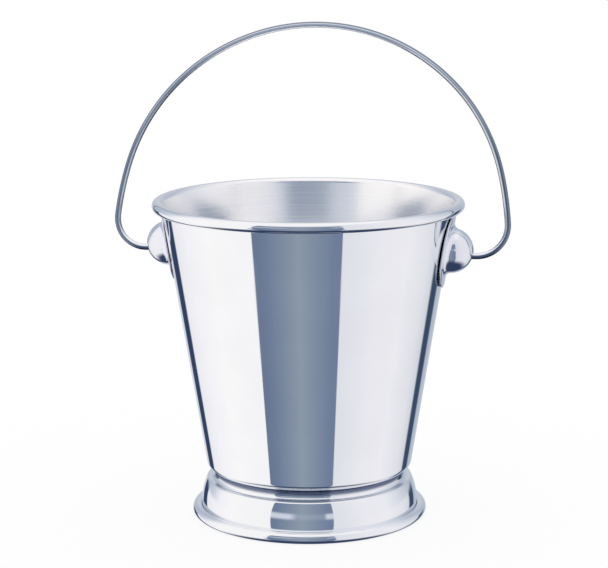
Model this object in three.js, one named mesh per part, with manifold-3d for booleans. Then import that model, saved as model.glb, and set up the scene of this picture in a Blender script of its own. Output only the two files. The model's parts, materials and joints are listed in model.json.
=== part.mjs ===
// A small stainless steel pail that stands on a spun foot and is carried by a swinging wire bail.
// Sizes are in millimetres, +Z is up, and the origin is the middle of the circle that it stands on.
// The ears lie on the X axis. The front of the pail faces -Y.
import * as THREE from 'three';
import { mergeVertices } from 'three/addons/utils/BufferGeometryUtils.js';
import Module from 'manifold-3d';

const wasm = await Module();
wasm.setup();

const degrees = THREE.MathUtils.degToRad;

// Every bend radius is taken at the middle of the sheet.
const sheet = 0.7;

// Pail: one drawn shell with a rounded bottom edge and a rim that is rolled outwards.
const pailHeight = 155.2;
const rimDiameter = 150;
const floorRadius = 46.1;
const knuckleRadius = 3.65;
const lipRadius = 2.65;
const curlRadius = 1.85;
const curlTurn = degrees(225);

// Foot: a spun drum whose lower edge is rolled outwards, joined by a neck and a flat collar to the
// underside of the pail.
const footHeight = 23.3;
const standDiameter = 114.4;
const rollRadius = 2.45;
const rollTurn = degrees(208);
const rollGap = 0.3;
const rootRadius = 0.9;
const skirtHeight = 4.75;
const shoulderRadius = 0.85;
const shoulderTurn = degrees(65);
const shelfWidth = 0.6;
const neckHeight = 4.55;
const collarWidth = 7;

// Ears: pressed plates, each with a hollow dome that takes one end of the bail.
const earSheet = 0.9;
const earLength = 35.8;
const earMargin = 0.6;
const earRimGap = 0.95;
const earWallGap = 0.3;
const earBendSlack = 14;
const domeRadius = 10.4;
const domeFoot = 3.45;
const domeHeight = 12.3;
const earSquareness = 2.5;

// Bail: one round wire, bent to a loop, with an upset head inside each dome.
const wireDiameter = 3;
const holeClearance = 0.35;
const holeDrop = 0.8;
const headDiameter = 6.4;
const headThickness = 1.5;
const headClearance = 0.3;
const stubLength = 1.3;
const cornerRadius = 14.6;
const cornerTurn = degrees(95);
const sideRadius = 151;
const sideTurn = degrees(9.4);
const shoulderArcRadius = 91.6;
const shoulderArcTurn = degrees(32.1);
const bailLean = degrees(14);

// Counts of facets.
const pailFacets = 64;
const earFacets = 32;
const wireFacets = 12;

const mirrorSteel = { color: 0xc8cdd6, roughness: 0.06, metalness: 1 };
const wireSteel = { color: 0xbfc5cf, roughness: 0.12, metalness: 1 };

// A line in a plane that is bent as a sheet or a wire is. It keeps its place and its heading at
// every step, so that a face can be laid off square to it.
class BentLine {
  constructor(x, y, heading = 0) {
    this.place = new THREE.Vector2(x, y);
    this.heading = heading;
    this.steps = [];
    this.mark();
  }

  mark() {
    this.steps.push({ place: this.place.clone(), heading: this.heading });
  }

  run(length) {
    this.place.x += length * Math.cos(this.heading);
    this.place.y += length * Math.sin(this.heading);
    this.mark();
    return this;
  }

  // Turns to the left for a positive angle and to the right for a negative one.
  bend(radius, turn, count) {
    const reach = radius * Math.sign(turn);
    const centre = leftOf(this, reach);
    for (let i = 1; i <= count; i += 1) {
      this.heading += turn / count;
      this.place.set(centre.x + reach * Math.sin(this.heading), centre.y - reach * Math.cos(this.heading));
      this.mark();
    }
    return this;
  }

  // The closed section of a sheet that has this line in its middle, as points for a revolve.
  section(thickness) {
    const right = this.steps.map((step) => leftOf(step, -thickness / 2));
    const left = this.steps.map((step) => leftOf(step, thickness / 2));
    return [...right, ...left.reverse(), right[0]];
  }
}

function leftOf({ place, heading }, distance) {
  return new THREE.Vector2(
    place.x - distance * Math.sin(heading),
    place.y + distance * Math.cos(heading),
  );
}

// Joins the vertices that share a place and drops the triangles that have shrunk to a line.
function closed(geometry) {
  geometry.deleteAttribute('normal');
  geometry.deleteAttribute('uv');
  const merged = mergeVertices(geometry);
  const corners = merged.getIndex().array;
  const kept = [];
  for (let i = 0; i < corners.length; i += 3) {
    const [a, b, c] = corners.slice(i, i + 3);
    if (a !== b && b !== c && c !== a) kept.push(a, b, c);
  }
  merged.setIndex(kept);
  return merged;
}

function revolve(points, facets) {
  return closed(new THREE.LatheGeometry(points, facets));
}

function toSolid(geometry) {
  return new wasm.Manifold(new wasm.Mesh({
    numProp: 3,
    vertProperties: new Float32Array(geometry.getAttribute('position').array),
    triVerts: new Uint32Array(geometry.getIndex().array),
  }));
}

function fromSolid(solid) {
  const { vertProperties, triVerts } = solid.getMesh();
  const geometry = new THREE.BufferGeometry();
  geometry.setAttribute('position', new THREE.BufferAttribute(vertProperties, 3));
  geometry.setIndex(new THREE.BufferAttribute(triVerts, 1));
  return geometry;
}

function piece(name, geometry, finish) {
  geometry.computeVertexNormals();
  const mesh = new THREE.Mesh(geometry, new THREE.MeshStandardMaterial(finish));
  mesh.name = name;
  return mesh;
}

// The wall is the straight line that touches the knuckle on its inner side and the lip on its
// outer side, so its lean follows from the floor, the rim and the height.
function pailWall() {
  const floorMiddle = footHeight + sheet / 2;
  const beadMiddle = rimDiameter / 2 - curlRadius - sheet / 2;
  const knuckle = new THREE.Vector2(floorRadius, floorMiddle + knuckleRadius);
  const lip = new THREE.Vector2(beadMiddle, pailHeight - sheet / 2 - lipRadius);
  const between = lip.clone().sub(knuckle);
  const offset = knuckleRadius + lipRadius;
  return {
    floorMiddle,
    knuckle,
    heading: between.angle() + Math.asin(offset / between.length()),
    length: Math.sqrt(between.lengthSq() - offset * offset),
  };
}

const wall = pailWall();

// The radius of the wall's outside at a height.
function wallRadius(height) {
  const outside = knuckleRadius + sheet / 2;
  const foot = new THREE.Vector2(
    wall.knuckle.x + outside * Math.sin(wall.heading),
    wall.knuckle.y - outside * Math.cos(wall.heading),
  );
  return foot.x + (height - foot.y) / Math.tan(wall.heading);
}

function pailShell() {
  const line = new BentLine(0, wall.floorMiddle)
    .run(floorRadius)
    .bend(knuckleRadius, wall.heading, 4)
    .run(wall.length)
    .bend(lipRadius, -wall.heading, 3)
    .bend(curlRadius, -curlTurn, 8);
  return revolve(line.section(sheet), pailFacets).rotateX(Math.PI / 2);
}

// The pail stands on the rolled edge. From the free end of the roll the sheet goes over the top and
// round the outside to a narrow flat land, and turns up at the root into the straight skirt. The
// drum and the shoulder curve in to a shelf, and the neck steps up to the collar under the pail.
function footRing() {
  const rollEnd = rollTurn - Math.PI / 2;
  const rollMiddle = new THREE.Vector2(standDiameter / 2 - sheet / 2 - rollRadius, sheet / 2 + rollRadius);
  const start = new THREE.Vector2(rollRadius, 0).rotateAround(new THREE.Vector2(), rollEnd).add(rollMiddle);
  const landWidth = rollGap + sheet / 2 - rootRadius - (rollRadius + sheet / 2) * Math.cos(rollEnd);
  const line = new BentLine(start.x, start.y, rollEnd - Math.PI / 2)
    .bend(rollRadius, -rollTurn, 6)
    .run(landWidth)
    .bend(rootRadius, -Math.PI / 2, 2)
    .run(skirtHeight);
  const shelfHeight = footHeight - sheet / 2 - neckHeight;
  const shoulderRise = shoulderRadius * (1 - Math.cos(shoulderTurn));
  const drumRadius = (shelfHeight - shoulderRise - line.place.y) / Math.cos(shoulderTurn);
  line.bend(drumRadius, Math.PI / 2 - shoulderTurn, 3)
    .bend(shoulderRadius, shoulderTurn, 2)
    .run(shelfWidth)
    .bend(neckHeight / 2, -Math.PI / 2, 3)
    .bend(neckHeight / 2, Math.PI / 2, 3)
    .run(collarWidth);
  return revolve(line.section(sheet), pailFacets).rotateX(Math.PI / 2);
}

// Where an ear sits: its tilt with the wall, its middle on the wall, the top of its dome, the middle
// of its dome and the hinge, all in the upright plane through the ears. The hinge lies a little
// under the tops of the domes.
function earSeat() {
  const tilt = Math.PI / 2 - wall.heading;
  const beadUnderside = pailHeight - 2 * curlRadius - sheet;
  const height = beadUnderside - earRimGap - earLength / 2 * Math.cos(tilt);
  const outward = new THREE.Vector2(Math.cos(tilt), -Math.sin(tilt));
  const back = outward.clone().multiplyScalar(earWallGap).add(new THREE.Vector2(wallRadius(height), height));
  const domeTop = outward.clone().multiplyScalar(domeHeight).add(back);
  const outerRadius = domeRadius + earSheet / 2;
  const domeMiddle = outward.clone().multiplyScalar(-outerRadius).add(domeTop);
  const hinge = new THREE.Vector2(domeTop.x, domeTop.y - holeDrop);
  return { tilt, back, domeMiddle, hinge };
}

const seat = earSeat();

// Turns a round blank into an ear: the plate's edge is pulled out to a rectangle with very round
// ends, and then the whole plate is bent round the pail, a little flatter than the wall.
function shapePlate(blank, domeEdge) {
  const halfWidth = domeEdge + earMargin;
  const bendRadius = wallRadius(seat.back.y + earLength / 2) + earBendSlack;
  const places = blank.getAttribute('position');
  const place = new THREE.Vector3();
  for (let i = 0; i < places.count; i += 1) {
    place.fromBufferAttribute(places, i);
    const radius = Math.hypot(place.y, place.z);
    if (radius > domeEdge) {
      const across = Math.abs(place.y / radius / halfWidth) ** earSquareness;
      const along = Math.abs(place.z / radius / (earLength / 2)) ** earSquareness;
      const outline = (across + along) ** (-1 / earSquareness);
      const reach = domeEdge + (radius - domeEdge) / earMargin * (outline - domeEdge);
      place.y *= reach / radius;
      place.z *= reach / radius;
    }
    place.x -= bendRadius - Math.sqrt(bendRadius ** 2 - place.y ** 2);
    places.setXYZ(i, place.x, place.y, place.z);
  }
}

// An ear before it is placed: the middle of its back is the origin, its dome points along +X, and
// Z runs up the plate. The dome is pierced level, under its top, for the wire.
function ear() {
  const rise = domeHeight - earSheet;
  const domeTurn = Math.acos(1 - rise / (domeRadius + domeFoot));
  const line = new BentLine(0, domeHeight - earSheet / 2)
    .bend(domeRadius, -domeTurn, 6)
    .bend(domeFoot, domeTurn, 3);
  const domeEdge = line.place.x;
  line.run(earMargin);
  const blank = revolve(line.section(earSheet), earFacets).rotateZ(-Math.PI / 2);
  shapePlate(blank, domeEdge);

  const holeRadius = wireDiameter / 2 + holeClearance;
  const hole = new THREE.CylinderGeometry(holeRadius, holeRadius, 2 * domeRadius, wireFacets);
  const below = holeDrop / Math.cos(seat.tilt);
  hole.rotateZ(Math.PI / 2).rotateY(-seat.tilt).translate(domeHeight, 0, -below);

  return fromSolid(toSolid(blank).subtract(toSolid(closed(hole))));
}

// Skins a round wire round a line: one ring of points for each step and each radius there.
function sweepWire(rings) {
  const places = [];
  for (const { place, heading, radius } of rings) {
    for (let i = 0; i < wireFacets; i += 1) {
      const angle = 2 * Math.PI * i / wireFacets;
      const side = leftOf({ place, heading }, radius * Math.cos(angle));
      places.push(side.x, -radius * Math.sin(angle), side.y);
    }
  }
  const corners = [];
  const ends = [rings[0], rings.at(-1)].map(({ place }) => places.push(place.x, 0, place.y) / 3 - 1);
  const lastRing = (rings.length - 1) * wireFacets;
  for (let i = 0; i < wireFacets; i += 1) {
    const next = (i + 1) % wireFacets;
    for (let base = 0; base < lastRing; base += wireFacets) {
      const above = base + wireFacets;
      corners.push(base + i, above + next, above + i, base + i, base + next, above + next);
    }
    corners.push(ends[0], next, i, ends[1], lastRing + i, lastRing + next);
  }
  const geometry = new THREE.BufferGeometry();
  geometry.setAttribute('position', new THREE.Float32BufferAttribute(places, 3));
  geometry.setIndex(corners);
  return geometry;
}

// The bail lies in the XZ plane with its hinge on the X axis. Its line starts at the right head,
// leaves the dome, turns up the side and goes over the top to the left head.
function bail() {
  const headRadius = headDiameter / 2;
  const inside = domeRadius - earSheet / 2 - headClearance;
  const drop = seat.domeMiddle.y - seat.hinge.y + headRadius;
  const headFace = seat.domeMiddle.x + Math.sqrt(inside * inside - drop * drop);
  const stub = seat.hinge.x + stubLength - headFace;

  const line = new BentLine(headFace - headThickness, 0)
    .run(headThickness)
    .run(stub)
    .bend(cornerRadius, cornerTurn, 6)
    .bend(sideRadius, sideTurn, 2)
    .bend(shoulderArcRadius, shoulderArcTurn, 6);
  const crownTurn = Math.PI - line.heading;
  const crownRadius = line.place.x / Math.sin(crownTurn);
  line.bend(crownRadius, 2 * crownTurn, 16)
    .bend(shoulderArcRadius, shoulderArcTurn, 6)
    .bend(sideRadius, sideTurn, 2)
    .bend(cornerRadius, cornerTurn, 6)
    .run(stub)
    .run(headThickness);

  const wire = line.steps.slice(1, -1).map((step) => ({ ...step, radius: wireDiameter / 2 }));
  const [start, neck] = line.steps;
  const [lastNeck, end] = line.steps.slice(-2);
  return sweepWire([
    { ...start, radius: headRadius },
    { ...neck, radius: headRadius },
    ...wire,
    { ...lastNeck, radius: headRadius },
    { ...end, radius: headRadius },
  ]);
}

function placedEar(name, side) {
  const mesh = piece(name, ear(), mirrorSteel);
  mesh.position.set(seat.back.x, 0, seat.back.y);
  mesh.rotation.y = seat.tilt;
  const carrier = new THREE.Group();
  carrier.rotation.z = side > 0 ? 0 : Math.PI;
  carrier.add(mesh);
  return carrier;
}

function hungBail() {
  const mesh = piece('bail', bail(), wireSteel);
  mesh.position.z = seat.hinge.y;
  mesh.rotation.x = -bailLean;
  return mesh;
}

const pail = new THREE.Group();
pail.add(
  piece('pail_shell', pailShell(), mirrorSteel),
  piece('foot_ring', footRing(), mirrorSteel),
  placedEar('ear_left', -1),
  placedEar('ear_right', 1),
  hungBail(),
);

export default pail;
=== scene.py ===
# %% [markdown]
# A small stainless steel pail
#
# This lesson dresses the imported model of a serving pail: a tapered shell with a rolled rim, a spun
# foot, two domed ears and a wire bail. On polished metal the looks are nearly all reflection, so the
# lesson spends its effort on two things. The surfaces are smooth and exact, because a mirror shows
# every facet, and the studio round the pail is drawn with care, because that is what the metal shows.

# %% Load the frame
import json
import math

import bmesh
import bpy
import numpy as np
from mathutils import Matrix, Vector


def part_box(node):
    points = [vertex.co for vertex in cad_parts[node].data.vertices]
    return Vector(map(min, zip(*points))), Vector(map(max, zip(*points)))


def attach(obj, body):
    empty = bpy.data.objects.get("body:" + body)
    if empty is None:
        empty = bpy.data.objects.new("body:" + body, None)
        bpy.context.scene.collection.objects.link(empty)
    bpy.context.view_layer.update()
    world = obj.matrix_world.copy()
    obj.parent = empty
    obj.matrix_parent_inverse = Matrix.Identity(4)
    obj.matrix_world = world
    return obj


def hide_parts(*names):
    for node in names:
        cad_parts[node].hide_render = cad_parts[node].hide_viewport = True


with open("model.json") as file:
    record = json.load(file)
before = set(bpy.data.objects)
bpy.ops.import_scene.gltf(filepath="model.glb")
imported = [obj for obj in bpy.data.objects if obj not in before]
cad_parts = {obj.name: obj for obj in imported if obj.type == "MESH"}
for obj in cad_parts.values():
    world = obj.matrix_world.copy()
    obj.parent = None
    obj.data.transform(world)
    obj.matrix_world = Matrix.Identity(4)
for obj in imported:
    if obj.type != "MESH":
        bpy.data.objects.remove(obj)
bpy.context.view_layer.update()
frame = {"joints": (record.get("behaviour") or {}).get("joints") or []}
MM = 0.001
RIGHT_ANGLE = math.pi / 2


def placed(name, data):
    """An object for a mesh or a camera, linked to the scene."""
    made = bpy.data.objects.new(name, data)
    bpy.context.collection.objects.link(made)
    return made


# %% [markdown]
# The camera comes first, because every reflection depends on it. It stands a metre in front of the
# pail, fifteen centimetres above the rim, and looks down by eleven degrees. The pail is turned a
# little on its foot, so that its right ear comes forward: here the camera walks round it instead, by
# the bearing, and the pail keeps its own axes.

# %% The camera
CAMERA_DISTANCE = 999.2 * MM
CAMERA_HEIGHT = 306.4 * MM
CAMERA_BEARING = math.radians(10.5)
CAMERA_PAN = -0.0022
CAMERA_TILT = 0.1908
CAMERA_ROLL = 0.0045
SENSOR_WIDTH = 36.0
IMAGE_WIDTH = 608
FOCAL_PIXELS = 2106.6

camera_data = bpy.data.cameras.new("camera")
camera_data.sensor_width = SENSOR_WIDTH
camera_data.lens = FOCAL_PIXELS / IMAGE_WIDTH * SENSOR_WIDTH
camera = placed("camera", camera_data)
bpy.context.scene.camera = camera

stand = Matrix.Translation((0, -CAMERA_DISTANCE, CAMERA_HEIGHT))
aim = Matrix.Rotation(-CAMERA_PAN, 4, "Z") @ Matrix.Rotation(RIGHT_ANGLE - CAMERA_TILT, 4, "X")
roll = Matrix.Rotation(-CAMERA_ROLL, 4, "Z")
camera.matrix_world = Matrix.Rotation(CAMERA_BEARING, 4, "Z") @ stand @ aim @ roll
print("the lens is", round(camera_data.lens, 1), "mm long")

# %% [markdown]
# Sheet and wire are both bent along a line, so one helper draws them all. It is told a list of
# moves, as a bending shop would be: run straight for a length, or bend by an angle round a radius.
# It gives back a row of places and the heading at each, which is all that a sheet's two faces or a
# wire's rings need.

# %% A line that is bent
GUARD = 0.25


def run(length, count=2):
    """A straight move. Two of its points lie close to its ends, so that shading stays flat."""
    inner = np.linspace(GUARD, length - GUARD, count) if length > 4 * GUARD else np.array([length / 2])
    return ("run", length, np.append(inner, length) / length)


def bend(radius, turn, count):
    """A move round an arc: turn is in radians, to the left for a positive angle."""
    return ("bend", (radius, turn), np.arange(1, count + 1) / count)


def bent_line(start, moves, heading=0):
    """Places and headings along the moves, from a start and a first heading.

    A run adds its length times (cos, sin) of the heading. A bend's centre lies one radius to the
    side, and each place on it is the centre plus the radius times (sin, -cos) of the heading.
    """
    places = np.array([start], float)
    headings = np.array([heading], float)
    for kind, size, shares in moves:
        heading = headings[-1]
        if kind == "run":
            step = size * shares[:, None] * np.array([math.cos(heading), math.sin(heading)])
            new_places = places[-1] + step
            new_headings = np.full(len(shares), heading)
        else:
            radius, turn = size
            reach = radius * math.copysign(1, turn)
            centre = places[-1] + reach * np.array([-math.sin(heading), math.cos(heading)])
            new_headings = heading + turn * shares
            new_places = centre + reach * np.stack([np.sin(new_headings), -np.cos(new_headings)], 1)
        places = np.concatenate([places, new_places])
        headings = np.concatenate([headings, new_headings])
    return places, headings


quarter = bent_line((0, 0), [bend(1, RIGHT_ANGLE, count=4)])[0]
print("a quarter bend of radius 1 ends at", quarter[-1].round(3))

# %% [markdown]
# A sheet has two faces and two edges. The section goes up one face, round the end of the sheet, back
# down the other face and round the start, so that the finished piece is closed and has a real
# thickness wherever it is seen. Sheared edges are rounded over by polishing, and here they are half
# circles.

# %% The section of a sheet
EDGE_STEPS = 6


def offset(places, headings, distance):
    """Moves each place to the left of its heading by a distance."""
    return places + distance * np.stack([-np.sin(headings), np.cos(headings)], 1)


def round_end(place, heading, radius):
    """A half circle round the end of a sheet, from its right face to its left one."""
    angles = heading + np.linspace(-RIGHT_ANGLE, RIGHT_ANGLE, EDGE_STEPS + 1)[1:-1]
    return place + radius * np.stack([np.cos(angles), np.sin(angles)], 1)


def sheet_section(line, thickness):
    """The closed outline of a sheet that has the line in its middle."""
    places, headings = line
    half = thickness / 2
    right = offset(places, headings, -half)
    left = offset(places, headings, half)
    end = round_end(places[-1], headings[-1], half)
    start = round_end(places[0], headings[0] + math.pi, half)
    return np.concatenate([right, end, left[::-1], start])


print("a straight sheet has", len(sheet_section(bent_line((0, 0), [run(10)]), 1)), "places round its section")

# %% [markdown]
# Every piece here is a grid: round the pail one way and round the section the other, or along the
# wire and round it. One helper turns such a grid into a mesh. Rows that meet in one point are merged
# there into a pole, and the sign of the enclosed volume says whether the faces point outwards.

# %% A closed skin
MERGE = 1e-4 * MM


def grid_faces(rows, columns, closed_rows):
    """Four corners for each cell of a grid. Columns always join up, and rows only when closed."""
    row = np.arange(rows if closed_rows else rows - 1)[:, None]
    column = np.arange(columns)[None, :]
    next_row = (row + 1) % rows
    next_column = (column + 1) % columns
    corners = [row * columns + column, next_row * columns + column,
               next_row * columns + next_column, row * columns + next_column]
    return np.stack([np.broadcast_to(corner, (len(row), columns)) for corner in corners], 2).reshape(-1, 4)


def enclosed_volume(places, faces):
    """The sum over all faces of the volume between each face and the origin, in cubic millimetres."""
    a, b, c, d = (places[faces[:, i]] for i in range(4))
    halves = (a * np.cross(b, c)).sum(1) + (a * np.cross(c, d)).sum(1)
    return halves.sum() / 6


def skin(name, grid, closed_rows=True, along=None, finishes=None):
    """Makes an object from a grid of places in millimetres, shaped (rows, columns, 3).

    along is a number for each row or column, kept on the mesh as an attribute, and finishes is the
    index of the material for each row.
    """
    rows, columns, _ = grid.shape
    places = grid.reshape(-1, 3)
    faces = grid_faces(rows, columns, closed_rows)
    if enclosed_volume(places, faces) < 0:
        faces = faces[:, ::-1]
    mesh = bpy.data.meshes.new(name)
    mesh.from_pydata((places * MM).tolist(), [], faces.tolist())
    if finishes is not None:
        mesh.polygons.foreach_set("material_index", np.repeat(finishes, columns)[:len(faces)])
    if along is not None:
        values = mesh.attributes.new("along", "FLOAT", "POINT").data
        values.foreach_set("value", np.broadcast_to(along, (rows, columns)).ravel().astype(np.float32))
    merge = bmesh.new()
    merge.from_mesh(mesh)
    bmesh.ops.remove_doubles(merge, verts=merge.verts, dist=MERGE)
    merge.to_mesh(mesh)
    merge.free()
    mesh.shade_smooth()
    piece = placed(name, mesh)
    print(name, "has", len(mesh.polygons), "faces and", round(abs(enclosed_volume(places, faces))), "mm3")
    return piece


AROUND = 288


def revolve(section, around=AROUND):
    """Turns a section round the Z axis: (radius cos, radius sin, height), one row for each point."""
    angle = 2 * math.pi * np.arange(around) / around
    radius, height = section[:, :1], section[:, 1:]
    return np.stack([radius * np.cos(angle), radius * np.sin(angle), height + 0 * angle], 2)


# %% [markdown]
# The shell is drawn from one disc of sheet. Its flat floor turns up through a rounded bottom edge
# into a straight, tapered wall, and the rim is flared and then curled over outwards into a hollow
# bead. The wall is the straight line that touches both bends, so its lean follows from the floor,
# the rim and the height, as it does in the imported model. The outside is polished to a mirror and the
# inside is left with a satin brushing, so the two faces of the sheet take different finishes.

# %% The drawn shell
SHEET = 0.7
RIM_DIAMETER = 150.0
PAIL_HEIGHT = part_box("pail_shell")[1].z / MM
FOOT_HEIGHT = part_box("pail_shell")[0].z / MM
FLOOR_RADIUS = 46.1
KNUCKLE_RADIUS = 3.65
LIP_RADIUS = 2.3
CURL_RADIUS = 2.2
CURL_TURN = math.radians(225)


def pail_wall():
    """Lean and length of the wall, and the middle of the knuckle that it starts from."""
    knuckle = np.array([FLOOR_RADIUS, FOOT_HEIGHT + SHEET / 2 + KNUCKLE_RADIUS])
    lip = np.array([RIM_DIAMETER / 2 - CURL_RADIUS - SHEET / 2, PAIL_HEIGHT - SHEET / 2 - LIP_RADIUS])
    across, up = lip - knuckle
    between = math.hypot(across, up)
    reach = KNUCKLE_RADIUS + LIP_RADIUS
    heading = math.atan2(up, across) + math.asin(reach / between)
    return heading, math.sqrt(between ** 2 - reach ** 2), knuckle


WALL_HEADING, WALL_LENGTH, KNUCKLE = pail_wall()


def wall_radius(height):
    """The radius of the wall's outside at a height."""
    outward = np.array([math.sin(WALL_HEADING), -math.cos(WALL_HEADING)])
    foot = KNUCKLE + (KNUCKLE_RADIUS + SHEET / 2) * outward
    return foot[0] + (height - foot[1]) / math.tan(WALL_HEADING)


CURL_STEPS = 30
shell_line = bent_line((0, FOOT_HEIGHT + SHEET / 2), [
    run(FLOOR_RADIUS, count=12),
    bend(KNUCKLE_RADIUS, WALL_HEADING, count=16),
    run(WALL_LENGTH, count=24),
    bend(LIP_RADIUS, -WALL_HEADING, count=12),
    bend(CURL_RADIUS, -CURL_TURN, count=CURL_STEPS),
])
print("the wall leans out by", round(90 - math.degrees(WALL_HEADING), 2), "degrees")

# %% Its two finishes
POLISHED, BRUSHED = 0, 1
LIP_STEPS = 4
shell_section = sheet_section(shell_line, SHEET)
steps = np.linalg.norm(np.diff(shell_section, axis=0, prepend=shell_section[:1]), axis=1)
inside_start = len(shell_line[0]) + EDGE_STEPS - 1 + CURL_STEPS + LIP_STEPS
row = np.arange(len(shell_section))
shell_finish = np.where((row >= inside_start) & (row < len(shell_section) - EDGE_STEPS), BRUSHED, POLISHED)
along = np.cumsum(steps)[:, None] * MM
drawn_shell = skin("drawn_shell", revolve(shell_section), along=along, finishes=shell_finish)

# %% [markdown]
# The foot is spun from its own ring, and its lower edge is rolled outwards into a hollow bead that
# the pail stands on. The free end of the roll comes back almost to the skirt, and the narrow gap
# that is left draws the dark line round the foot. Above it the drum curves in to a shoulder, and
# behind the shoulder a narrow shelf and a neck make the waist. The neck ends in a flat collar,
# which is welded under the pail.

# %% The spun foot
STAND_DIAMETER = 114.4
ROLL_RADIUS = 2.45
ROLL_TURN = math.radians(208)
ROLL_GAP = 0.3
ROOT_RADIUS = 0.9
SKIRT_HEIGHT = 4.75
SHOULDER_RADIUS = 0.85
SHOULDER_TURN = math.radians(65)
SHELF_WIDTH = 0.6
NECK_HEIGHT = 4.55
COLLAR_WIDTH = 7.0


def foot_line():
    """From the free end of the roll to the collar. The drum fills the height that the rest leaves."""
    roll_end = ROLL_TURN - RIGHT_ANGLE
    middle = np.array([STAND_DIAMETER / 2 - SHEET / 2 - ROLL_RADIUS, SHEET / 2 + ROLL_RADIUS])
    start = middle + ROLL_RADIUS * np.array([math.cos(roll_end), math.sin(roll_end)])
    land = ROLL_GAP + SHEET / 2 - ROOT_RADIUS - (ROLL_RADIUS + SHEET / 2) * math.cos(roll_end)
    skirt_top = SHEET / 2 + ROOT_RADIUS + SKIRT_HEIGHT
    shoulder_foot = FOOT_HEIGHT - SHEET / 2 - NECK_HEIGHT - SHOULDER_RADIUS * (1 - math.cos(SHOULDER_TURN))
    drum_radius = (shoulder_foot - skirt_top) / math.cos(SHOULDER_TURN)
    return bent_line(start, [
        bend(ROLL_RADIUS, -ROLL_TURN, count=32),
        run(land),
        bend(ROOT_RADIUS, -RIGHT_ANGLE, count=8),
        run(SKIRT_HEIGHT),
        bend(drum_radius, RIGHT_ANGLE - SHOULDER_TURN, count=20),
        bend(SHOULDER_RADIUS, SHOULDER_TURN, count=12),
        run(SHELF_WIDTH),
        bend(NECK_HEIGHT / 2, -RIGHT_ANGLE, count=14),
        bend(NECK_HEIGHT / 2, RIGHT_ANGLE, count=14),
        run(COLLAR_WIDTH, count=4),
    ], roll_end - RIGHT_ANGLE)


spun_foot = skin("spun_foot", revolve(sheet_section(foot_line(), SHEET)))

# %% [markdown]
# Each ear is one pressing: an oval plate, bent a little round the pail, with a hollow dome raised in
# its middle. The dome is pierced for the wire, a little under its top. The section is bent like the
# rest and swept round, and then three small changes to the grid make it an ear. The rows on the
# dome are tipped about its centre, so that the hole moves down and the dome keeps its shape. The
# rows on the plate are pulled out to the outline, a superellipse, which is a rectangle whose sides
# melt into round ends. Last, the whole grid is bent round the pail.

# %% The pressed ears
EAR_SHEET = 0.9
EAR_LENGTH = 35.8
EAR_MARGIN = 0.6
EAR_RIM_GAP = 0.25
EAR_WALL_GAP = 0.3
EAR_BEND_SLACK = 14.0
EAR_SQUARENESS = 2.5
DOME_RADIUS = 10.4
DOME_FOOT = 3.45
DOME_HEIGHT = 12.3
WIRE_DIAMETER = 3.0
HOLE_CLEARANCE = 0.35
HOLE_DROP = 0.8
EAR_AROUND = 160
DOME_STEPS = 40


def ear_seat():
    """Tilt of an ear, the middle of its back and the top of its dome, in the plane of both ears."""
    tilt = RIGHT_ANGLE - WALL_HEADING
    height = PAIL_HEIGHT - 2 * CURL_RADIUS - SHEET - EAR_RIM_GAP - EAR_LENGTH / 2 * math.cos(tilt)
    outward = np.array([math.cos(tilt), -math.sin(tilt)])
    back = np.array([wall_radius(height), height]) + EAR_WALL_GAP * outward
    return tilt, back, back + DOME_HEIGHT * outward


EAR_TILT, EAR_BACK, DOME_TOP = ear_seat()


def tipped(x, z, fade):
    """Tips places on the dome about its centre. fade is 1 at the hole and 0 at the dome's foot."""
    tip = math.asin(HOLE_DROP / math.cos(EAR_TILT) / DOME_RADIUS) * fade
    middle = DOME_HEIGHT - EAR_SHEET / 2 - DOME_RADIUS
    return middle + (x - middle) * np.cos(tip) + z * np.sin(tip), z * np.cos(tip) - (x - middle) * np.sin(tip)


def ear_outline(angle, half_width):
    """The reach of the plate at an angle: (|cos / width| ** n + |sin / length| ** n) ** (-1 / n)."""
    across, up = np.abs(np.cos(angle)) / half_width, np.abs(np.sin(angle)) / (EAR_LENGTH / 2)
    return (across ** EAR_SQUARENESS + up ** EAR_SQUARENESS) ** (-1 / EAR_SQUARENESS)


def ear_grid():
    """An ear with the middle of its back at the origin, its dome along +X and Z up the plate."""
    hole = math.asin((WIRE_DIAMETER / 2 + HOLE_CLEARANCE + EAR_SHEET / 2) / DOME_RADIUS)
    dome_turn = math.acos(1 - (DOME_HEIGHT - EAR_SHEET) / (DOME_RADIUS + DOME_FOOT))
    moves = [bend(DOME_RADIUS, -hole, count=1), bend(DOME_RADIUS, hole - dome_turn, count=DOME_STEPS),
             bend(DOME_FOOT, dome_turn, count=20), run(EAR_MARGIN, count=3)]
    places, headings = (part[1:] for part in bent_line((0, DOME_HEIGHT - EAR_SHEET / 2), moves))
    section = sheet_section((places, headings), EAR_SHEET)
    plate_start = places[-1, 0] - EAR_MARGIN
    angle = 2 * math.pi * np.arange(EAR_AROUND) / EAR_AROUND
    radius, height = section[:, :1], section[:, 1:]
    on_plate = (radius > plate_start) & (height < EAR_SHEET + DOME_FOOT)
    share = np.where(on_plate, np.minimum((radius - plate_start) / EAR_MARGIN, 1), 0)
    reach = radius + share * (ear_outline(angle, plate_start + EAR_MARGIN) - plate_start - EAR_MARGIN)
    y, z = reach * np.cos(angle), reach * np.sin(angle)
    x = height + 0 * angle
    from_top = np.arctan2(radius, height - (DOME_HEIGHT - EAR_SHEET / 2 - DOME_RADIUS))
    x, z = tipped(x, z, np.clip((dome_turn - from_top) / (dome_turn - hole), 0, 1) ** 2)
    return bent_round_the_pail(x, y, z)


def bent_round_the_pail(x, y, z):
    """Places on the ear's plate after its bend, as one grid."""
    bend_radius = wall_radius(EAR_BACK[1] + EAR_LENGTH / 2) + EAR_BEND_SLACK
    return np.stack([x - bend_radius + np.sqrt(bend_radius ** 2 - y ** 2), y, z], 2)


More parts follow.
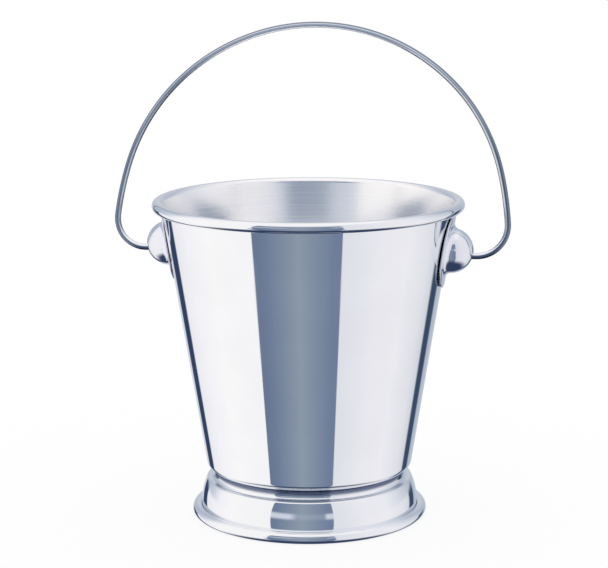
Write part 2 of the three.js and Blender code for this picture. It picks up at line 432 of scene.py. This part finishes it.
def seated(grid, side):
    """Tips a grid with the wall, moves it out to the ear's seat and turns it to its side."""
    turn = Matrix.Rotation(EAR_TILT, 4, "Y")
    place = Matrix.Translation((EAR_BACK[0], 0, EAR_BACK[1])) @ turn
    if side < 0:
        place = Matrix.Rotation(math.pi, 4, "Z") @ place
    matrix = np.array(place)
    return grid @ matrix[:3, :3].T + matrix[:3, 3]


ear = ear_grid()
ear_finish = (np.arange(len(ear)) < len(ear) // 2 - EDGE_STEPS).astype(np.int32)
pressed_ears = [skin("pressed_ear_left", seated(ear, -1), finishes=ear_finish),
                skin("pressed_ear_right", seated(ear, 1), finishes=ear_finish)]

# %% [markdown]
# The bail is one length of round wire. It comes straight out of the left and right domes, turns up
# through a tight corner, and then each bend is slacker than the last until the two halves meet in
# the crown. Inside each dome the wire's end is upset to a head, so that it can't pull out. The wire
# is a ring carried along that line: each place gets a circle square to the heading.

# %% The wire bail
HEAD_DIAMETER = 6.4
HEAD_THICKNESS = 1.5
HEAD_CLEARANCE = 0.3
STUB_LENGTH = 1.3
CORNER_RADIUS = 14.6
CORNER_TURN = math.radians(95)
SIDE_RADIUS = 151.0
SIDE_TURN = math.radians(9.4)
SHOULDER_ARC_RADIUS = 91.6
SHOULDER_ARC_TURN = math.radians(32.1)
BAIL_LEAN = math.radians(14)
HINGE_HEIGHT = frame["joints"][0]["pos_m"][2] / MM
WIRE_SIDES = 28


def bail_line():
    """The wire's line from head to head, in its own plane, with the hinge at height zero."""
    outward = np.array([math.cos(EAR_TILT), -math.sin(EAR_TILT)])
    dome_middle = DOME_TOP - (DOME_RADIUS + EAR_SHEET / 2) * outward
    inside = DOME_RADIUS - EAR_SHEET / 2 - HEAD_CLEARANCE
    drop = dome_middle[1] - HINGE_HEIGHT + HEAD_DIAMETER / 2
    head_face = dome_middle[0] + math.sqrt(inside ** 2 - drop ** 2)
    stub = run(DOME_TOP[0] + STUB_LENGTH - head_face, count=6)
    half = [bend(CORNER_RADIUS, CORNER_TURN, count=40), bend(SIDE_RADIUS, SIDE_TURN, count=20),
            bend(SHOULDER_ARC_RADIUS, SHOULDER_ARC_TURN, count=40)]
    places, headings = bent_line((head_face, 0), [stub, *half])
    crown_turn = math.pi - headings[-1]
    crown_radius = places[-1, 0] / math.sin(crown_turn)
    crown = bend(crown_radius, 2 * crown_turn, count=120)
    return bent_line((head_face, 0), [stub, *half, crown, *half[::-1], stub])


def wire_bail():
    """Rings along the wire, with wider ones for each head and a point to close each end.

    Its attribute runs round the wire, from 1 on the inside of the loop to -1 on the outside.
    """
    places, headings = bail_line()
    reach = HEAD_THICKNESS * np.array([[1, 0]])
    first, last = places[:1], places[-1:]
    line = np.concatenate([first - reach, first - reach, first, places, last, last - reach, last - reach])
    turns = np.concatenate([np.repeat(headings[:1], 3), headings, np.repeat(headings[-1:], 3)])
    head, wire = HEAD_DIAMETER / 2, WIRE_DIAMETER / 2
    radius = np.concatenate([[0, head, head], np.full(len(places), wire), [head, head, 0]])[:, None]
    angle = 2 * math.pi * np.arange(WIRE_SIDES) / WIRE_SIDES
    side, depth = radius * np.cos(angle), radius * np.sin(angle)
    x = line[:, :1] - side * np.sin(turns)[:, None]
    z = line[:, 1:] + side * np.cos(turns)[:, None]
    grid = np.stack([x, depth, z], 2)
    lean = np.array(Matrix.Translation((0, 0, HINGE_HEIGHT)) @ Matrix.Rotation(-BAIL_LEAN, 4, "X"))
    places = grid @ lean[:3, :3].T + lean[:3, 3]
    return skin("wire_bail", places, closed_rows=False, along=np.cos(angle)[None, :])


bail = wire_bail()

# %% [markdown]
# Shader maths reads best as plain arithmetic. The small class below stands for one output of a node:
# adding or multiplying two of them lays down the Math node that does it. Any other kind of node
# comes from one method, which takes its settings and then the values or links of its sockets.

# %% Nodes as expressions


class Graph:
    """A node tree that is built up by expressions."""

    def __init__(self, tree):
        tree.nodes.clear()
        self.tree = tree

    def node(self, kind, settings=None, sockets=None, output=0):
        """Adds a node and gives one of its outputs. A ramp's stops are (position, colour) pairs."""
        made = self.tree.nodes.new(kind)
        for name, value in (settings or {}).items():
            if name == "stops":
                elements = made.color_ramp.elements
                while len(elements) < len(value):
                    elements.new(1.0)
                for element, (position, colour) in zip(elements, value):
                    element.position = position
                    element.color = (*colour, 1.0)
            else:
                setattr(made, name, value)
        for name, value in (sockets or {}).items():
            if isinstance(value, Socket):
                self.tree.links.new(value.output, made.inputs[name])
            else:
                made.inputs[name].default_value = value
        return Socket(self, made.outputs[output]) if made.outputs else None


class Socket:
    """One output of a node, on which arithmetic adds Math nodes."""

    def __init__(self, graph, output):
        self.graph = graph
        self.output = output

    def part(self, name):
        """Another output of the same node."""
        return Socket(self.graph, self.output.node.outputs[name])

    def math(self, operation, *values):
        return self.graph.node("ShaderNodeMath", {"operation": operation}, dict(enumerate(values)))

    def __add__(self, other):
        return self.math("ADD", self, other)

    def __radd__(self, other):
        return self.math("ADD", other, self)

    def __sub__(self, other):
        return self.math("SUBTRACT", self, other)

    def __rsub__(self, other):
        return self.math("SUBTRACT", other, self)

    def __mul__(self, other):
        return self.math("MULTIPLY", self, other)

    def __rmul__(self, other):
        return self.math("MULTIPLY", other, self)

    def __truediv__(self, other):
        return self.math("DIVIDE", self, other)

    def rise(self, low, high):
        """0 below low, 1 above high and a smooth rise between."""
        return self.graph.node(
            "ShaderNodeMapRange", {"interpolation_type": "SMOOTHSTEP"},
            {"Value": self, "From Min": low, "From Max": high},
        )


def mixed(graph, share, *colours):
    """A colour that goes from the first of two to the second by a share."""
    first, second = (colour if isinstance(colour, Socket) else (*colour, 1) for colour in colours)
    return graph.node("ShaderNodeMix", {"data_type": "RGBA"}, {0: share, 6: first, 7: second}, output=2)


def linear(red, green, blue):
    """A colour written as a screen shows it, from 0 to 255, as light: the sRGB curve undone."""
    values = np.array([red, green, blue]) / 255
    return tuple(np.where(values <= 0.04045, values / 12.92, ((values + 0.055) / 1.055) ** 2.4).tolist())


def new_material(name):
    """A material and the graph of its nodes."""
    material = bpy.data.materials.new(name)
    material.use_nodes = True
    return material, Graph(material.node_tree)


def finish_metal(graph, sockets):
    """Ends a graph with the steel's own shader."""
    steel = graph.node("ShaderNodeBsdfPrincipled", {}, {"Metallic": 1.0, **sockets})
    graph.node("ShaderNodeOutputMaterial", {}, {"Surface": steel})


print("mid grey on a screen is", [round(value, 3) for value in linear(128, 128, 128)], "of white")

# %% [markdown]
# Stainless steel is a slightly cool, slightly dark mirror. Buffing leaves it nearly flat, with a
# faint haze that comes and goes, and ripples too shallow to see except where they bend the edge of
# a reflection. So the polished finish takes its roughness from one soft noise and its bump from
# another, both very weak. Each kind of piece has its own material, because sheet, foot, pressing
# and wire were polished by different wheels.

# %% The polished finish
STEEL = linear(243, 245, 249)
HAZE_SCALE, HAZE_DETAIL = 35, 3
RIPPLE_SCALE, RIPPLE_DETAIL = 55, 1
NOISE_RANGE = (0.3, 0.7)
HAZE_DARKENS = 0.97


def polished(name, colour, roughness, haze, ripple, painted_shade=None):
    """A mirror finish: haze spreads its roughness, and ripple is the height of its waves in mm.

    The last argument gives, from the graph and the place, the share of painted shade, by which the steel
    goes over to a second, darker colour and a little more roughness.
    """
    material, graph = new_material(name)
    place = graph.node("ShaderNodeTexCoord", output="Object")
    cloud = graph.node("ShaderNodeTexNoise", {}, {
        "Vector": place, "Scale": HAZE_SCALE, "Detail": HAZE_DETAIL,
    })
    wave = graph.node("ShaderNodeTexNoise", {}, {
        "Vector": place, "Scale": RIPPLE_SCALE, "Detail": RIPPLE_DETAIL,
    })
    shade = cloud.rise(*NOISE_RANGE)
    normal = graph.node("ShaderNodeBump", {}, {"Height": wave, "Distance": ripple * MM, "Strength": 1.0})
    colour = mixed(graph, shade, [HAZE_DARKENS * part for part in colour], colour)
    roughness = roughness + haze * shade
    if painted_shade:
        share, painted_shade_colour, painted_shade_roughness = painted_shade
        share = share(graph, place)
        colour = mixed(graph, share, colour, painted_shade_colour)
        roughness = roughness + painted_shade_roughness * share
    finish_metal(graph, {"Base Color": colour, "Roughness": roughness, "Normal": normal})
    return material


# %% [markdown]
# Not all of the steel is polished alike. In the foot's narrow waist the steel is given a darker
# colour with a little more roughness: this is painted shade in the recess under the pail, and the
# pail's knuckle shows it as a dark line. The back of each ear stays rough, as it was pressed. On the
# wire, light and shade are painted: its inner side keeps the bright steel and its outer side is
# painted dark, apart from a painted highlight on the outside of its shoulders and crown, and its
# uprights are painted darker all round than the crown. Where each of these begins and ends is a
# pair of heights, or of values of the attribute that runs round the wire.

# %% Where shade and highlights are painted on the steel
SHELF_TOP = FOOT_HEIGHT - NECK_HEIGHT
WAIST_SHADE_HEIGHTS = ((SHELF_TOP + 1.2) * MM, (SHELF_TOP + 3.0) * MM)
STUB_TOP = (132 * MM, 142 * MM)
SHOULDER = (170 * MM, 195 * MM)
CROWN_FOOT = (205 * MM, 225 * MM)
# The bounds and strengths below place painted shade and a painted highlight on the wire.
UNSHADED_SIDE = (-0.15, 0.3)
UNSHADED_SIDE_WIDENS = 0.42
UPRIGHT_SHADE = 0.35
INNER_EDGE = (0.55, 0.85)
INNER_EDGE_SHADE = 0.8
OUTERMOST = (-0.97, -0.75)
PAINTED_HIGHLIGHT = 0.7


def height_of(graph, place):
    """The height of a place above the table, in metres."""
    return graph.node("ShaderNodeSeparateXYZ", {}, {0: place}).part("Z")


def painted_shade_in_waist(graph, place):
    """The share of painted shade in the foot's waist: 0 on the foot's shelf and 1 at the top of its neck,
    under the pail.
    """
    return height_of(graph, place).rise(*WAIST_SHADE_HEIGHTS)


def painted_shade_on_wire(graph, place):
    """The share of painted shade on the bail's wire: 1 on the outer side, and on its uprights nearly 1
    on the inner edge too.

    From the shoulders up, the unshaded inner side is wider, and a painted highlight lies along the
    outermost line.
    """
    inside = graph.node("ShaderNodeAttribute", {"attribute_name": "along"}, output="Fac")
    height = height_of(graph, place)
    upright = height.rise(*STUB_TOP) * (1 - height.rise(*CROWN_FOOT))
    crown = height.rise(*SHOULDER)
    bright = (inside + UNSHADED_SIDE_WIDENS * crown).rise(*UNSHADED_SIDE)
    inner_edge = INNER_EDGE_SHADE * upright * inside.rise(*INNER_EDGE)
    dark = 1 - bright * (1 - UPRIGHT_SHADE * upright) * (1 - inner_edge)
    # The last factor paints a highlight along the outermost line of the shoulders and crown.
    return dark * (1 - PAINTED_HIGHLIGHT * crown * (1 - inside.rise(*OUTERMOST)))


mirror_shell = polished("mirror_shell", STEEL, roughness=0.03, haze=0.03, ripple=0.01)
# The foot's waist takes painted shade: a dark blue-grey steel colour above the shelf.
mirror_foot = polished("mirror_foot", STEEL, roughness=0.035, haze=0.03, ripple=0.006,
                       painted_shade=(painted_shade_in_waist, linear(108, 118, 142), 0.1))
mirror_ear = polished("mirror_ear", linear(236, 238, 246), roughness=0.1, haze=0.05, ripple=0.01)
ear_back = polished("ear_back", linear(176, 186, 206), roughness=0.5, haze=0.05, ripple=0.01)
# The wire takes painted shade on its outer side and uprights, and a painted highlight along its crown.
mirror_wire = polished("mirror_wire", linear(238, 241, 247), roughness=0.07, haze=0.04, ripple=0.004,
                       painted_shade=(painted_shade_on_wire, linear(118, 129, 150), 0.12))
# Above the height printed here, the foot's neck carries painted shade.
print("the foot's neck is spun steel above", round(WAIST_SHADE_HEIGHTS[1] / MM, 1), "mm")

# %% [markdown]
# Inside, the pail is brushed while it turns, so the fine lines run round it. They hold steady along
# the brushing and change quickly across it: the noise is stretched, slow round the pail and very
# quick along the distance from the middle of the floor up the wall, which each row of the mesh
# carries as an attribute. The shader's own anisotropy then smears each reflection across the lines,
# as the real grooves do.

# %% The brushed finish
LINE_SCALE, LINE_DETAIL = 5200, 3
SLOW_SCALE = 9
LINE_DARKENS = 0.94
LINE_ROUGHNESS = 0.06
ANISOTROPY = 0.6


def brushed(name, colour, roughness, depth):
    """A satin finish with lines round the pail. depth is the height of the lines in mm."""
    material, graph = new_material(name)
    place = graph.node("ShaderNodeSeparateXYZ", {}, {0: graph.node("ShaderNodeTexCoord", output="Object")})
    along = graph.node("ShaderNodeAttribute", {"attribute_name": "along"}, output="Fac")
    vector = graph.node("ShaderNodeCombineXYZ", {}, {
        0: place.part("X") * SLOW_SCALE,
        1: place.part("Y") * SLOW_SCALE,
        2: along * LINE_SCALE,
    })
    line = graph.node("ShaderNodeTexNoise", {}, {"Vector": vector, "Scale": 1.0, "Detail": LINE_DETAIL})
    shade = line.rise(*NOISE_RANGE)
    finish_metal(graph, {
        "Base Color": mixed(graph, shade, [LINE_DARKENS * part for part in colour], colour),
        "Roughness": roughness + LINE_ROUGHNESS * shade,
        "Anisotropic": ANISOTROPY,
        "Normal": graph.node("ShaderNodeBump", {}, {"Height": line, "Distance": depth * MM, "Strength": 1.0}),
    })
    return material


satin_inside = brushed("satin_inside", linear(250, 250, 252), roughness=0.17, depth=0.003)

# %% Dress the pieces
for piece, materials in ((drawn_shell, [mirror_shell, satin_inside]), (spun_foot, [mirror_foot]),
                         (pressed_ears[0], [mirror_ear, ear_back]), (pressed_ears[1], [mirror_ear, ear_back]),
                         (bail, [mirror_wire])):
    for material in materials:
        piece.data.materials.append(material)
    print(piece.name, "wears", [material.name for material in piece.data.materials])

# %% [markdown]
# Now the studio. A mirror-bright pail is photographed between two white screens, and what is left
# open between them shows in the metal. The gap that the camera looks through is the dark band down
# the front of the pail, and again the dark patch on its foot. The wall looks down into the lower
# part of that gap, and the foot looks level and up into its upper part, which is a little narrower.
# A pale veil hangs at both sides of the gap where the inside looks, and very thinly across it, so
# the patch there is narrower still and paler. Two narrow gaps behind the screens draw the dark line
# inside each side of the outline. The dark table lies straight below and draws a fine line under
# every bead. All of this is written as the colour of the world in each direction, by the bearing
# from the camera and by the height. The camera itself sees only white, and so does the floor.

# %% The screens
FRONT = [(-90, (248, 248, 249)), (-47.5, (246, 246, 249)), (28.5, (222, 225, 233)), (60, (233, 233, 239))]
SIDES = [(-118, (243, 242, 247)), *FRONT, (90, (236, 236, 241)), (118, (223, 225, 232))]
SCREENS = [(-180, (226, 229, 236)), *SIDES, (180, (226, 229, 236))]
BEHIND = [
    (-180, (206, 210, 220)), (-158, (206, 210, 220)), (-156, (52, 68, 98)), (-141, (44, 62, 94)),
    (-139.5, (232, 233, 239)), *SIDES, (131, (208, 212, 221)), (134, (56, 72, 98)), (146, (60, 76, 102)),
    (149, (168, 180, 198)), (180, (200, 204, 214)),
]
ABOVE = [
    (-180, (196, 201, 212)), (-150, (170, 180, 198)), (-128, (196, 203, 216)), (-110, (243, 242, 247)),
    *FRONT, (90, (232, 234, 240)), (125, (196, 203, 216)), (145, (170, 180, 198)), (180, (196, 201, 212)),
]
GAP = [
    (-48, (104, 118, 144)), (-37, (110, 125, 152)), (-8, (140, 153, 170)), (22, (112, 127, 154)),
    (29, (110, 125, 154)),
]
VEIL = (202, 210, 224)
TABLE = (50, 64, 94)
CEILING = (247, 247, 249)


def against_steel(colour):
    """The light that the steel turns into a colour on the screen."""
    return tuple(light / part for light, part in zip(linear(*colour), STEEL))


print("a screen of 248 is as bright as", [round(part, 3) for part in against_steel((248, 248, 249))])

# %% Where they begin and end


def elevations(low, high):
    """The heights of two directions of length 1, from their angles above the level in degrees."""
    return math.sin(math.radians(low)), math.sin(math.radians(high))


TABLE_ENDS = elevations(-60, -38.5)
WALL_SEES_BELOW = elevations(-26, -20)
REAR_GAPS_CLOSE = elevations(-6, 0)
VEIL_BOTTOM = elevations(0, 6)
VEIL_TOP = elevations(10, 16)
BEHIND_TOP = elevations(30, 50)
GAP_CLOSES = elevations(36, 37)
CEILING_BEGINS = elevations(52, 66)
GAP_SIDES = (-47.6, 28.5)
UPPER_SIDES = (-41.5, 25.5)
GAP_EDGE = (0, 0.6)
VEIL_SIDES = (-17, 17)
VEIL_LEFT_EDGE = (-5, 5)
VEIL_RIGHT_EDGE = (-2, 2)
VEIL_THIN = 0.85


def bearing_of(graph, direction):
    """The bearing of a direction from the camera's, in degrees, growing to the right."""
    x, y = direction.part("X"), direction.part("Y")
    ahead = x * math.sin(CAMERA_BEARING) - y * math.cos(CAMERA_BEARING)
    aside = x * math.cos(CAMERA_BEARING) + y * math.sin(CAMERA_BEARING)
    return aside.math("ARCTAN2", aside, ahead) * math.degrees(1)


def on_ramp(bearing):
    """A bearing's place on a ramp, where 0 and 1 are straight behind the pail."""
    return bearing / 360 + 0.5


def by_bearing(graph, bearing, stops):
    """A colour that is read off (bearing, colour) stops."""
    scaled = [(on_ramp(place), against_steel(colour)) for place, colour in stops]
    return graph.node("ShaderNodeValToRGB", {"stops": scaled}, {0: on_ramp(bearing)})


print("on a ramp the gap lies between", [round(on_ramp(side), 3) for side in GAP_SIDES])

# %% The studio


def studio(graph):
    """The colour of the world in each direction, as the metal sees it."""
    direction = graph.node("ShaderNodeSeparateXYZ", {}, {0: graph.node("ShaderNodeTexCoord")})
    bearing = bearing_of(graph, direction)
    up = direction.part("Z")
    screens, behind, over_gaps, gap_colour = (
        by_bearing(graph, bearing, stops) for stops in (SCREENS, BEHIND, ABOVE, GAP)
    )
    colour = mixed(graph, up.rise(*REAR_GAPS_CLOSE), behind, over_gaps)
    colour = mixed(graph, up.rise(*BEHIND_TOP), colour, screens)
    above = up.rise(*WALL_SEES_BELOW)
    left = bearing - (above * (UPPER_SIDES[0] - GAP_SIDES[0]) + GAP_SIDES[0])
    right = (above * (UPPER_SIDES[1] - GAP_SIDES[1]) + GAP_SIDES[1]) - bearing
    gap = left.rise(*GAP_EDGE) * right.rise(*GAP_EDGE) * (1 - up.rise(*GAP_CLOSES))
    past_left = (bearing - VEIL_SIDES[0]).rise(*VEIL_LEFT_EDGE)
    before_right = (VEIL_SIDES[1] - bearing).rise(*VEIL_RIGHT_EDGE)
    veil = up.rise(*VEIL_BOTTOM) * (1 - up.rise(*VEIL_TOP)) * (1 - VEIL_THIN * past_left * before_right)
    colour = mixed(graph, gap, colour, mixed(graph, veil, gap_colour, against_steel(VEIL)))
    colour = mixed(graph, up.rise(*TABLE_ENDS), against_steel(TABLE), colour)
    return mixed(graph, up.rise(*CEILING_BEGINS), colour, against_steel(CEILING))


WHITE = (1, 1, 1, 1)
world = bpy.data.worlds.new("studio")
bpy.context.scene.world = world
world.use_nodes = True
graph = Graph(world.node_tree)
ray = graph.node("ShaderNodeLightPath")
metal_sees = graph.node("ShaderNodeBackground", {}, {"Color": studio(graph)})
white = graph.node("ShaderNodeBackground", {}, {"Color": WHITE})
seen = graph.node("ShaderNodeMixShader", {}, {0: ray.part("Is Glossy Ray"), 1: white, 2: metal_sees})
graph.node("ShaderNodeOutputWorld", {}, {"Surface": seen})
bpy.context.scene.view_settings.view_transform = "Standard"
print("the screens have", len(SCREENS), "stops")

# %% [markdown]
# The floor is white paper. It keeps a soft shadow under the foot, but the metal doesn't see it: low
# on the pail the mirror would otherwise show paper where the studio's screens belong. Most of its
# brightness is its own light for the camera, so that it melts into the white behind.

# %% The floor
FLOOR_SIZE = 12000.0
FLOOR_GLOW = 0.85

places = np.array([(-1, -1, 0), (1, -1, 0), (1, 1, 0), (-1, 1, 0)]) * FLOOR_SIZE / 2
mesh = bpy.data.meshes.new("floor")
mesh.from_pydata((places * MM).tolist(), [], [(0, 1, 2, 3)])
floor = placed("floor", mesh)
floor.visible_glossy = False
paper, graph = new_material("paper")
mesh.materials.append(paper)
lit = graph.node("ShaderNodeBsdfDiffuse", {}, {"Color": WHITE})
glow = graph.node("ShaderNodeEmission", {}, {"Color": WHITE, "Strength": 1.0})
camera_ray = graph.node("ShaderNodeLightPath", output="Is Camera Ray")
graph.node("ShaderNodeOutputMaterial", {}, {
    "Surface": graph.node("ShaderNodeMixShader", {}, {0: camera_ray * FLOOR_GLOW, 1: lit, 2: glow}),
})
print("the floor is", FLOOR_SIZE * MM, "m wide")

# %% [markdown]
# Last, each new piece is fixed to the body that carries it and stands for its plain node in the
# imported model. The shell, the foot and the ears are one body, and the bail swings on its hinge.

# %% Ride on the bodies
PIECES = (
    (drawn_shell, "pail", "pail_shell", "polished_shell"),
    (spun_foot, "pail", "foot_ring", "polished_foot"),
    (pressed_ears[0], "pail", "ear_left", "polished_ear"),
    (pressed_ears[1], "pail", "ear_right", "polished_ear"),
    (bail, "handle", "bail", "polished_wire"),
)
for piece, body, node, slot in PIECES:
    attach(piece, body)
    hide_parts(node)
    node_low, node_high = (np.array(corner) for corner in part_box(node))
    corners = np.array(piece.bound_box)
    growth = np.maximum(node_low - corners.min(axis=0), corners.max(axis=0) - node_high) / MM
    print(piece.name, "reaches past its node by", growth.round(2), "mm")
